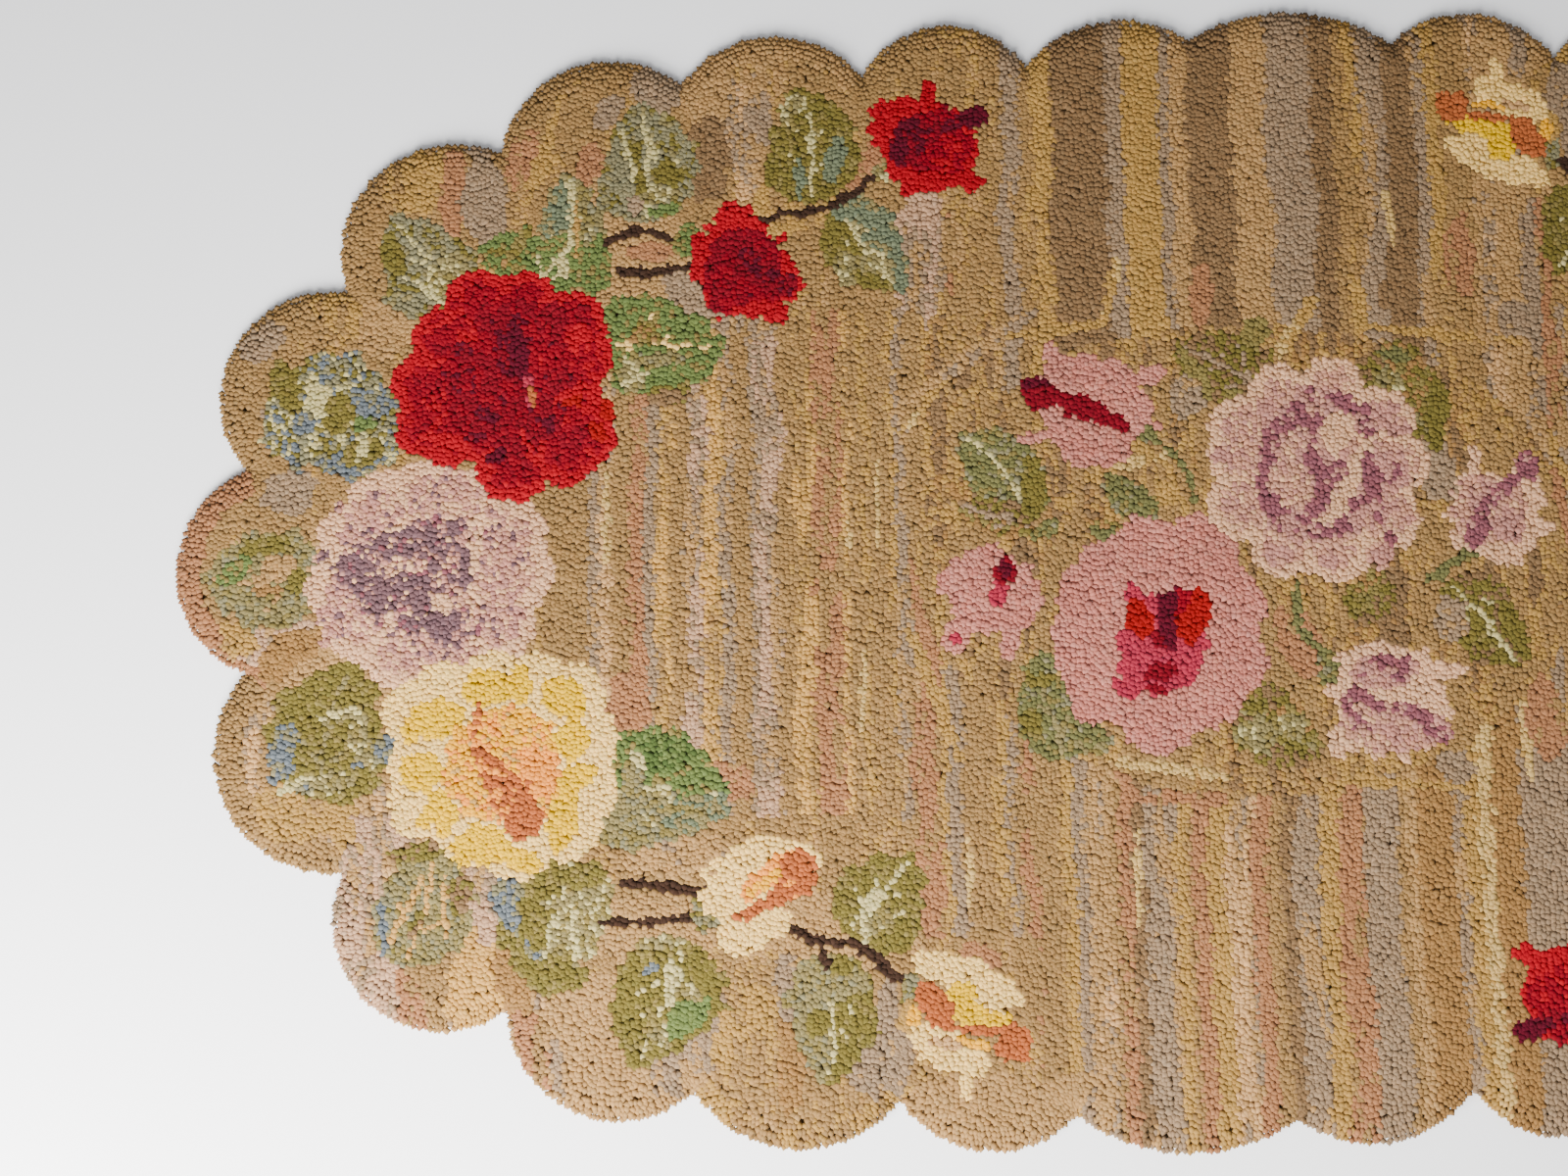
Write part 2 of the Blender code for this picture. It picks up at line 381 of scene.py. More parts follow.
# Details of the roses and the buds of the left end, in the order that they are laid.
# blend, x, y, half_length, half_width, turn
END_DETAILS = (
    # red rose
    ("deep red mix", -524, 172, 22, 18, 0), ("red", -548, 196, 12, 7, 0), ("red", -516, 196, 12, 7, 0),
    ("deep red mix", -486, 172, 18, 14, 30), ("crimson", -494, 178, 8, 12, 20),
    ("crimson mix", -524, 140, 30, 34, 0), ("crimson mix", -548, 108, 26, 18, -20),
    ("crimson mix", -496, 120, 14, 34, 0), ("crimson mix", -520, 84, 18, 14, 10),
    ("maroon mix", -526, 156, 13, 26, 12), ("maroon", -518, 150, 5, 22, 10),
    ("maroon mix", -562, 152, 7, 6, 0), ("maroon mix", -545, 105, 11, 5, -25),
    ("maroon mix", -566, 132, 10, 4, -20), ("maroon mix", -499, 104, 5, 16, 10),
    ("maroon mix", -550, 88, 9, 4, 20), ("maroon mix", -535, 74, 7, 5, 40),
    ("maroon mix", -540, 172, 16, 4, 20), ("red mix", -504, 146, 10, 9, 0),
    ("bright red", -512, 80, 3, 16, 25), ("bright red", -574, 176, 14, 4, 40),
    ("red mix", -470, 156, 12, 13, 0), ("bright red", -478, 163, 9, 8, 20),
    ("bright red", -482, 120, 16, 4, 25), ("red mix", -470, 142, 14, 6, 0),
    ("orange red", -456, 108, 6, 8, 0), ("orange red", -464, 93, 6, 9, 40),
    ("orange red", -480, 114, 9, 4, 20), ("bright red", -572, 84, 18, 6, -15),
    ("rose pink", -512, 121, 3.4, 13, 12), ("coral", -510, 116, 2, 8, 12),
    # yellow rose
    ("yellow", -574, -117, 21, 15, 6), ("yellow", -590, -123, 7, 10, 0),
    ("yellow", -539, -92, 17, 14, 0), ("yellow", -515, -90, 9, 14, -6), ("yellow", -528, -98, 14, 7, 0),
    ("yellow", -486, -99, 15, 14, 0), ("yellow", -476, -108, 9, 9, 0), ("yellow", -477, -131, 13, 13, -20),
    ("yellow", -472, -156, 14, 8, 12), ("yellow", -483, -184, 11, 26, -4),
    ("yellow", -536, -205, 21, 14, 0), ("yellow", -512, -215, 14, 9, -20), ("yellow", -551, -213, 8, 7, 0),
    ("yellow", -584, -153, 16, 14, 0), ("yellow", -567, -182, 11, 16, 20), ("yellow", -580, -188, 6, 6, 0),
    ("yellow heart", -524, -134, 34, 26, 0), ("yellow heart", -544, -152, 22, 32, 8),
    ("yellow heart", -520, -168, 30, 24, 0), ("apricot", -514, -118, 12, 6, 0),
    ("salmon", -499, -154, 13, 18, 0), ("coral mix", -530, -156, 15, 10, -45),
    ("coral mix", -518, -172, 15, 16, 20), ("coral", -509, -186, 15, 15, 10),
    ("coral mix", -545, -120, 3.5, 15, -14), ("coral mix", -542, -140, 6, 9, 20),
    # bright red bud on the upper stem
    ("bright red", -360, 216, 36, 40, 10), ("bright red", -366, 250, 12, 16, -35),
    ("bright red", -336, 184, 13, 10, -50), ("bright red", -328, 204, 13, 16, 10),
    ("crimson mix", -356, 216, 30, 27, -30), ("deep red mix", -372, 200, 13, 20, 0),
    ("maroon mix", -346, 216, 24, 6, -44), ("crimson", -368, 232, 14, 8, 20),
    ("maroon", -336, 206, 12, 4, -50),
    ("maroon mix", -326, 202, 9, 9, 0), ("maroon mix", -338, 208, 12, 6, -30),
    # red bud near the far edge
    ("bright red", -226, 308, 32, 38, 0), ("bright red", -244, 324, 20, 24, -20),
    ("bright red", -221, 346, 6, 14, -8), ("bright red", -196, 284, 20, 6, -14),
    ("bright red", -188, 278, 5, 5, 0), ("bright red", -200, 310, 16, 24, 10),
    ("crimson mix", -220, 314, 30, 25, 8), ("red mix", -206, 302, 20, 14, 20),
    ("deep red mix", -212, 328, 20, 8, 0), ("maroon mix", -238, 312, 13, 18, -15),
    ("maroon", -242, 306, 7, 9, 0), ("maroon mix", -204, 325, 20, 4, 14), ("maroon", -187, 331, 11, 8, 12),
    # cream bud on the lower stem
    ("cream", -350, -226, 38, 24, 28), ("cream", -348, -262, 32, 14, 22), ("cream", -320, -214, 18, 14, 0),
    ("cream", -358, -244, 26, 12, 20), ("salmon", -336, -224, 30, 8, 38),
    ("apricot", -340, -230, 18, 4, 30), ("coral", -317, -224, 13, 16, -20),
    ("coral", -340, -246, 26, 4.5, 22), ("coral mix", -326, -236, 12, 8, 40),
    # cream bud near the near edge
    ("cream", -208, -292, 30, 13, -14), ("cream", -182, -302, 20, 10, -30),
    ("cream", -192, -312, 26, 8, -30),
    ("cream", -214, -344, 32, 14, -24), ("cream", -203, -366, 5, 12, 10), ("gold", -240, -324, 8, 12, 10),
    ("apricot", -238, -322, 5, 8, 10), ("cream", -228, -334, 14, 8, 0), ("yellow", -206, -312, 12, 13, -30),
    ("yellow", -188, -324, 22, 7, -10), ("coral", -224, -313, 12, 17, 32),
    ("coral", -198, -331, 18, 3.5, -4), ("coral", -169, -340, 13, 12, -30),
    ("apricot", -196, -340, 16, 3.5, -12),
    ("pale peach", -216, -340, 12, 4, -10),
)

# The same for the mottled heart of the lavender rose, with ragged rims.
LAVENDER_DETAILS = (
    ("lavender haze", -534, -2, 20, 30, 8), ("lavender haze", -574, -70, 32, 18, -5),
    ("lavender haze", -642, -36, 15, 26, -20), ("lavender haze", -574, 48, 24, 12, 10),
    ("lavender haze", -628, 22, 18, 20, 30), ("lavender haze", -530, -44, 18, 12, 20),
    ("lavender core", -599, -4, 50, 28, 12), ("lavender core", -590, -34, 40, 22, -8),
    ("lavender dark", -592, 14, 34, 9, 16), ("lavender dark", -636, -8, 14, 8, 10),
    ("lavender dark", -622, -24, 20, 10, -10), ("lavender dark", -578, -46, 24, 10, -14),
    ("lavender dark", -590, -22, 16, 8, 15), ("lavender dark", -556, -14, 5, 16, 8),
    ("bone", -549, 4, 3.5, 30, -8), ("bone", -572, -32, 6, 7, 40),
)

# The same for the buds and roses of the middle.
CENTRE_DETAILS = (
    # heart of the pink rose
    ("rose pink", -58, -62, 30, 38, -14), ("rose pink", -78, -30, 5, 14, 6),
    ("rose pink", -84, -94, 11, 7, -20),
    ("orange red", -74, -45, 12, 13, 0), ("orange red", -36, -42, 12, 20, -12),
    ("red", -45, -32, 7, 10, 0), ("crimson", -60, -82, 11, 7, 10), ("crimson", -64, -95, 7, 4, 0),
    ("crimson", -60, -58, 6, 8, 0), ("maroon", -55, -46, 6, 22, 8), ("maroon", -50, -32, 4, 9, -10),
    ("pink", -112, -112, 13, 9, -30), ("pink", -118, -30, 16, 13, 0), ("pink", -30, -15, 16, 6, 0),
    ("pink", -76, 14, 9, 13, 0), ("pink", -10, -8, 9, 6, 0),
    # petals and mottles of the lilac rose
    ("lilac mix", 36, 100, 22, 22, 30), ("lilac mix", 66, 92, 16, 30, 0), ("lilac mix", 104, 62, 20, 18, 0),
    ("lilac mix", 88, 30, 24, 10, 30), ("lilac mix", 40, 22, 26, 10, -8), ("lilac mix", 26, 0, 11, 10, 0),
    ("lilac", 64, -4, 9, 5, 0), ("lilac mix", 100, 0, 10, 9, 0), ("plum", 108, 13, 5, 5, 0),
    ("lilac", 120, 94, 9, 4, 10), ("lilac mix", 104, 106, 14, 9, 20), ("lilac", -10, 74, 8, 6, 0),
    ("lilac", 2, 28, 5, 4, 0), ("lilac mix", 116, 32, 9, 11, 0), ("lilac petal", 38, 66, 17, 31, -12),
    ("bone", 73, 92, 11, 17, -14), ("bone", 82, 58, 7, 40, -24), ("bone", 62, 28, 10, 4, 20),
    # pink bud
    ("pink rim", -104, 112, 46, 30, -18), ("pink rim", -108, 124, 34, 26, 0),
    ("pink rim", -132, 148, 12, 7, -60),
    ("pink rim", -64, 133, 16, 7, 16), ("pink rim", -148, 87, 12, 4, 10),
    ("pink rim", -108, 82, 26, 18, -20),
    ("pink petal", -104, 88, 30, 20, -20), ("pink petal", -92, 128, 26, 14, -10),
    ("crimson", -143, 121, 15, 12, -10), ("crimson", -124, 116, 14, 6, -14),
    ("crimson", -108, 109, 22, 8, -26), ("crimson", -88, 99, 13, 6, -34), ("maroon", -144, 128, 9, 4, 0),
    ("crimson", -122, 105, 4, 5, 0),
    # small pink bud
    ("pink rim", -180, -26, 34, 30, 0), ("pink rim", -186, 0, 16, 9, 10),
    ("pink rim", -208, -16, 10, 7, -10),
    ("pink rim", -204, -56, 10, 14, -10), ("pink rim", -166, -60, 7, 14, -15),
    ("pink petal", -178, -32, 28, 20, 0),
    ("pink", -166, -44, 16, 8, 0), ("rose pink", -174, -26, 6, 11, -6), ("crimson", -170, -10, 8, 9, 0),
    ("maroon", -170, -8, 6, 6, 0), ("rose pink", -205, -60, 4.5, 4.5, 0),
    # lavender bud on the right
    ("bone", 184, 30, 34, 34, 10), ("bone", 172, 66, 5, 17, 8), ("bone", 212, 20, 16, 7, 8),
    ("bone", 208, 50, 10, 22, 5), ("lilac petal", 180, 34, 27, 26, 20), ("bone", 190, 4, 18, 10, 0),
    ("lilac mix", 172, 46, 14, 12, 0), ("lilac mix", 192, 22, 14, 12, 20),
    ("plum mix", 208, 65, 8, 11, -10),
    ("lilac", 196, 24, 6, 9, 10),
    # lavender bud on the near side
    ("bone", 100, -102, 42, 40, -10), ("bone", 136, -82, 20, 6, 0), ("bone", 70, -130, 15, 12, 30),
    ("lilac petal", 100, -122, 34, 18, -10), ("lilac mix", 96, -84, 26, 12, 0),
    ("lilac mix", 112, -126, 20, 10, 0), ("plum mix", 136, -124, 13, 9, -40),
)

# Lines of the lilac rose and of the lavender buds: blend, width, and the points that they pass through.
CENTRE_LINES = (
    ("plum mix", 13, (53, 120), (38, 104), (25, 86), (20, 70)),
    ("plum mix", 11, (56, 104), (40, 98), (28, 90)),
    ("plum mix", 7, (20, 70), (16, 52), (22, 40)),
    ("plum", 14, (22, 40), (27, 32)),
    ("plum mix", 11, (30, 24), (46, 23), (60, 17)),
    ("plum mix", 12, (56, 104), (54, 88), (54, 70), (64, 60)),
    ("plum mix", 13, (64, 60), (60, 48), (52, 34)),
    ("plum mix", 12, (64, 60), (74, 64)),
    ("plum", 11, (70, 118), (83, 109)),
    ("plum mix", 10, (92, 108), (92, 100), (97, 92)),
    ("plum mix", 11, (94, 72), (96, 58), (96, 48)),
    ("plum mix", 9, (96, 62), (108, 58), (116, 66)),
    ("plum mix", 10, (84, 42), (96, 42), (101, 30)),
    ("plum mix", 10, (90, 36), (80, 28), (72, 22)),
    ("plum", 14, (168, 12), (172, 22)),
    ("plum mix", 10, (172, 22), (177, 38), (188, 49), (198, 56)),
    ("plum mix", 10, (82, -82), (94, -76), (113, -75)),
    ("plum mix", 8, (113, -78), (108, -90)),
    ("plum mix", 8, (78, -96), (71, -106), (76, -118), (88, -121)),
    ("plum", 8, (84, -101), (94, -107)),
    ("plum mix", 10, (108, -108), (122, -114), (130, -120)),
)

# Leaves: x, y, half_length, half_width, turn of the tip, blends of the two sides of the midrib, and
# the wool of the veins.
END_LEAVES = (
    (-592, 216, 46, 32, 118, "grey leaf", "grey leaf", "straw"),
    (-528, 226, 24, 18, 165, "green leaf", "green leaf", "olive"),
    (-486, 244, 44, 24, 96, "teal leaf", "sage leaf", "straw"),
    (-494, 218, 28, 22, 60, "green leaf", "green leaf", "straw"),
    (-466, 218, 24, 12, 80, "green leaf", "green leaf", "green"),
    (-430, 296, 46, 36, 100, "grey leaf", "grey leaf", "straw"),
    (-310, 310, 46, 33, 98, "olive leaf", "olive leaf", "straw"),
    (-266, 230, 40, 28, -52, "teal leaf", "olive leaf", "straw"),
    (-418, 156, 48, 36, 6, "green leaf", "green leaf", "cream"),
    (-652, 98, 52, 44, -28, "mottled leaf", "mottled leaf", "straw"),
    (-702, -14, 43, 34, 186, "sage leaf", "sage leaf", "peach"),
    (-646, -124, 50, 42, 76, "olive leaf", "olive leaf", "sage"),
    (-580, -244, 44, 33, 82, "sage leaf", "sage leaf", "honey"),
    (-486, -262, 48, 36, -96, "pale leaf", "olive leaf", "straw"),
    (-414, -168, 48, 41, -6, "green leaf", "sage leaf", "straw"),
    (-412, -314, 46, 35, -106, "olive leaf", "olive leaf", "straw"),
    (-295, -324, 44, 30, -97, "olive leaf", "sage leaf", "straw"),
    (-256, -242, 37, 31, 62, "olive leaf", "olive leaf", "straw"),
)
CENTRE_LEAVES = (
    (-172, 62, 42, 25, 134, "dull leaf", "dull leaf", "straw"),
    (-176, 30, 30, 13, 160, "faded leaf", "dark leaf", "mauve"),
    (-80, 44, 25, 12, 138, "dull leaf", "dull leaf", "dull green"),
    (-96, 17, 13, 9, 150, "dull leaf", "faded leaf", "dull green"),
    (-8, 138, 42, 28, 150, "dark leaf", "dark leaf", "mauve"),
    (124, 118, 42, 28, -60, "faded leaf", "dark leaf", "sage"),
    (172, -48, 40, 25, -48, "dark leaf", "olive leaf", "straw"),
    (-138, -112, 34, 24, 100, "dull leaf", "dull leaf", "sage"),
    (-110, -130, 16, 11, 0, "dull leaf", "sage leaf", "dull green"),
    (22, -124, 34, 25, -20, "faded leaf", "dark leaf", "sage"),
    (92, -27, 22, 16, 60, "faded leaf", "dark leaf", "moss"),
)

# Touches of another green or blue on the leaves, and the calyxes: blend and ellipse as above.
END_TOUCHES = (
    ("olive", -614, 224, 8, 16, 8), ("pale leaf", -570, 204, 18, 22, 30),
    ("grey leaf", -606, 192, 14, 12, 0),
    ("straw", -586, 196, 14, 3.5, -40), ("dark leaf", -584, 184, 7, 4, 0),
    ("teal", -489, 262, 3.5, 18, 0), ("straw", -484, 256, 3, 24, 0), ("gold", -480, 242, 2, 24, 0),
    ("faded leaf", -524, 230, 4, 20, -35), ("straw", -490, 214, 4, 12, 30),
    ("olive", -437, 292, 6, 24, 6), ("olive", -414, 288, 10, 12, -6), ("grey green", -446, 284, 8, 24, 12),
    ("straw", -443, 302, 2.5, 26, 12), ("straw", -428, 312, 2.5, 20, 18),
    ("pale leaf", -420, 270, 18, 5, 10), ("green", -418, 258, 14, 4, 10), ("mauve", -437, 262, 6, 8, 0),
    ("teal", -290, 296, 8, 22, -14), ("teal", -316, 284, 4, 18, 0), ("pale leaf", -322, 338, 8, 14, -20),
    ("teal", -268, 254, 24, 6, -8), ("teal", -243, 212, 5, 18, 10), ("pale leaf", -282, 214, 9, 14, 10),
    ("teal", -252, 240, 12, 6, 0), ("pale leaf", -262, 218, 14, 8, 0),
    ("dark leaf", -412, 119, 19, 9, 4), ("sage leaf", -422, 144, 22, 6, 6),
    ("faded leaf", -428, 166, 9, 13, -20),
    ("pale leaf", -438, 132, 8, 14, 20), ("straw", -438, 140, 2.5, 10, 40),
    ("straw", -436, 132, 2.5, 12, -60), ("brown", -414, 116, 14, 6, 4),
    ("olive leaf", -690, 124, 10, 22, 14), ("blue leaf", -674, 96, 9, 8, 0),
    ("straw", -664, 116, 10, 16, 20),
    ("blue leaf", -628, 112, 14, 11, 20), ("blue leaf", -646, 66, 14, 9, -20),
    ("olive leaf", -650, 104, 10, 16, 0),
    ("olive leaf", -632, 76, 16, 8, 20), ("green", -632, 98, 8, 5, 0), ("straw", -632, 78, 4, 10, -30),
    ("olive leaf", -700, 8, 18, 7, 10), ("peach", -690, -10, 14, 9, 20),
    ("green leaf", -722, -12, 14, 8, 40),
    ("olive", -676, -18, 8, 9, 0), ("caramel", -696, -24, 10, 4, 0),
    ("blue leaf", -682, -140, 11, 22, -10), ("straw", -668, -162, 16, 4, 14),
    ("pale leaf", -648, -162, 16, 8, 10),
    ("blue leaf", -610, -136, 12, 9, 40), ("blue leaf", -622, -146, 12, 4, 20),
    ("blue leaf", -664, -166, 7, 4, 0),
    ("pale leaf", -626, -130, 8, 22, 20), ("straw", -644, -112, 14, 2.5, 20),
    ("grey leaf", -602, -262, 7, 22, 8), ("dark leaf", -580, -208, 26, 6, 10),
    ("honey", -590, -248, 2.6, 26, -25), ("honey", -564, -244, 2.6, 22, 4),
    ("dark leaf", -552, -240, 9, 16, 0),
    ("dark leaf", -584, -258, 3, 14, -25), ("blue", -606, -264, 3, 20, 8),
    ("blue leaf", -518, -244, 14, 20, 10), ("blue leaf", -499, -284, 5, 18, 24),
    ("olive leaf", -470, -226, 22, 9, 4), ("olive leaf", -502, -258, 9, 24, 10),
    ("olive leaf", -486, -292, 20, 12, 0),
    ("pale leaf", -484, -244, 14, 4, 10), ("straw", -474, -268, 3, 18, 6),
    ("forest leaf", -414, -140, 24, 14, -10), ("green leaf", -392, -162, 18, 14, -20),
    ("straw", -432, -146, 6, 8, 0),
    ("teal leaf", -390, -182, 24, 12, 10), ("moss", -400, -180, 16, 3, -4),
    ("sage leaf", -434, -168, 8, 22, 0),
    ("green", -394, -322, 18, 12, 52), ("blue", -420, -290, 7, 4, 30), ("pale leaf", -414, -272, 18, 5, 6),
    ("pale leaf", -396, -304, 14, 5, -30), ("straw", -406, -300, 3.5, 16, 0),
    ("pale leaf", -414, -334, 10, 9, 0),
    ("sage leaf", -296, -298, 26, 15, 0), ("olive", -286, -288, 9, 8, 0), ("olive", -304, -326, 9, 8, 30),
    ("pale leaf", -266, -256, 16, 9, 10), ("straw", -268, -248, 5, 12, -20),
    ("green leaf", -399, 235, 10, 13, 0), ("pale leaf", -250, 288, 11, 9, -20),
    ("grey leaf", -382, -252, 11, 13, 0),
    ("grey leaf", -240, -302, 6, 13, 0),
)
CENTRE_TOUCHES = (
    ("moss", -26, 132, 6, 24, 30), ("moss", 14, 164, 12, 12, 0), ("olive", -148, 50, 11, 20, 0),
    ("mauve mix", -34, 116, 12, 14, 0), ("moss", -2, 116, 9, 10, 0),
    ("olive", -146, -84, 11, 10, 0), ("dull leaf", -142, -76, 14, 7, 10), ("olive", -152, -120, 9, 8, 20),
    ("dull green", 118, 148, 12, 6, -10), ("pale leaf", 112, 130, 10, 9, 0),
    ("olive", 146, 104, 8, 26, -6), ("olive", 194, -54, 8, 20, 24), ("dark leaf", 168, -70, 10, 7, 0),
    ("mauve mix", 148, -44, 12, 16, 0), ("dull leaf", -68, 92, 11, 10, 20),
    ("dull leaf", 62, -80, 12, 13, 20),
    ("dull leaf", 162, 6, 10, 9, -30), ("dull green", 140, -14, 9, 4, 20),
    ("dull leaf", -140, 20, 14, 5, 30),
    ("dark leaf", 18, -100, 14, 9, 0), ("pale leaf", 6, -130, 14, 12, 0),
    ("pale leaf", 30, -122, 10, 10, 0),
)

# Stems: wool, width, and the points that they pass through.
END_STEMS = (
    ("stem brown", 6, (-458, 235), (-440, 243), (-426, 243), (-412, 237)),
    ("stem brown", 6, (-450, 213), (-425, 211), (-394, 217)),
    ("stem brown", 6, (-354, 246), (-330, 255), (-300, 259), (-278, 270), (-263, 284)),
    ("stem brown", 8, (-438, -231), (-410, -233), (-384, -237)),
    ("stem brown", 5, (-454, -258), (-425, -257), (-394, -255)),
    ("stem brown", 7, (-320, -263), (-302, -271), (-280, -271), (-268, -280), (-248, -296)),
    ("stem brown", 6, (-302, -271), (-299, -286)),
)
CENTRE_STEMS = (
    ("dull green", 5, (-62, 88), (-44, 74), (-34, 56), (-32, 40)),
    ("dull green", 6, (40, -18), (38, -48), (56, -72)),
    ("dull green", 5, (158, 0), (140, -12)),
    ("gold", 4, (-70, 82), (-50, 66), (-38, 30)),
)


def linear(hex_colour):
    """The linear red, green and blue of an sRGB colour written as #rrggbb."""
    parts = np.array([int(hex_colour[i : i + 2], 16) for i in (1, 3, 5)]) / 255
    return np.where(parts <= 0.04045, parts / 12.92, ((parts + 0.055) / 1.055) ** 2.4)


def noise(x, y, size, seed):
    """Smooth noise from -1 to 1: hashed values at a square lattice of that size, blended by
    3t^2 - 2t^3 between its corners. The seed only tells one noise from another."""
    i, j = np.floor(x / size), np.floor(y / size)
    u, v = x / size - i, y / size - j
    u, v = u * u * (3 - 2 * u), v * v * (3 - 2 * v)

    def corner(a, b):
        """The hashed value at one corner: the fraction of a large sine, brought to -1 to 1."""
        value = np.sin((i + a) * 127.1 + (j + b) * 311.7 + seed * 74.7) * 43758.5453
        return 2 * (value - np.floor(value)) - 1

    near = corner(0, 0) * (1 - u) + corner(1, 0) * u
    far = corner(0, 1) * (1 - u) + corner(1, 1) * u
    return near * (1 - v) + far * v


def scallop_circles():
    """Centres and radii of the circles that the scallops are arcs of, and the notches, all round."""
    rows = np.array(SCALLOPS)
    notches = np.concatenate([rows[:, :2], -rows[:, :2]])
    rises = np.concatenate([rows[:, 2], rows[:, 2]])
    chords = np.roll(notches, -1, axis=0) - notches
    lengths = np.linalg.norm(chords, axis=1)
    outward = np.stack([chords[:, 1], -chords[:, 0]], axis=1) / lengths[:, None]
    radii = (lengths**2 / 4 + rises**2) / (2 * rises)
    centres = notches + chords / 2 + outward * (rises - radii)[:, None]
    return centres, radii, notches, outward


CENTRES, RADII, NOTCHES, OUTWARD = scallop_circles()
ARC_STARTS = np.arctan2(*(NOTCHES - CENTRES).T[::-1])
ARC_SPANS = (np.arctan2(*(np.roll(NOTCHES, -1, axis=0) - CENTRES).T[::-1]) - ARC_STARTS) % (2 * math.pi)


def edge_depth(x, y):
    """How far inside the outline each point lies, and its nearest scallop: the distance to a scallop
    is to its arc where the point lies within the arc's angle, and else to the nearer of its notches."""
    dx, dy = np.asarray(x, float)[..., None], np.asarray(y, float)[..., None]
    reach = np.hypot(dx - CENTRES[:, 0], dy - CENTRES[:, 1])
    turn = (np.arctan2(dy - CENTRES[:, 1], dx - CENTRES[:, 0]) - ARC_STARTS) % (2 * math.pi)
    to_notch = np.hypot(dx - NOTCHES[:, 0], dy - NOTCHES[:, 1])
    to_ends = np.minimum(to_notch, np.roll(to_notch, -1, axis=-1))
    distance = np.where(turn < ARC_SPANS, np.abs(RADII - reach), to_ends)
    sides = (NOTCHES[:, 0] - dx) * OUTWARD[:, 0] + (NOTCHES[:, 1] - dy) * OUTWARD[:, 1]
    inside = (reach < RADII).any(axis=-1) | (sides > 0).all(axis=-1)
    return np.where(inside, 1, -1) * distance.min(axis=-1), distance.argmin(axis=-1)


def ellipse(x, y, row, raggedness):
    """How far inside a ragged ellipse each point lies: 1 less the distance from its middle over its
    half size in that direction, plus noise."""
    middle_x, middle_y, half_length, half_width, turn = row
    cosine, sine = math.cos(math.radians(turn)), math.sin(math.radians(turn))
    along = ((x - middle_x) * cosine + (y - middle_y) * sine) / half_length
    across = ((y - middle_y) * cosine - (x - middle_x) * sine) / half_width
    rough = noise(x, y, 8.0, middle_x + middle_y) * raggedness
    return 1 - np.hypot(along, across) + rough


def stroke_distance(x, y, points):
    """The distance from each point to the nearest of a line's straight pieces."""
    nearest = np.full(x.shape, np.inf)
    for (ax, ay), (bx, by) in zip(points[:-1], points[1:]):
        dx, dy = bx - ax, by - ay
        share = np.clip(((x - ax) * dx + (y - ay) * dy) / (dx * dx + dy * dy), 0, 1)
        nearest = np.minimum(nearest, np.hypot(x - ax - share * dx, y - ay - share * dy))
    return nearest


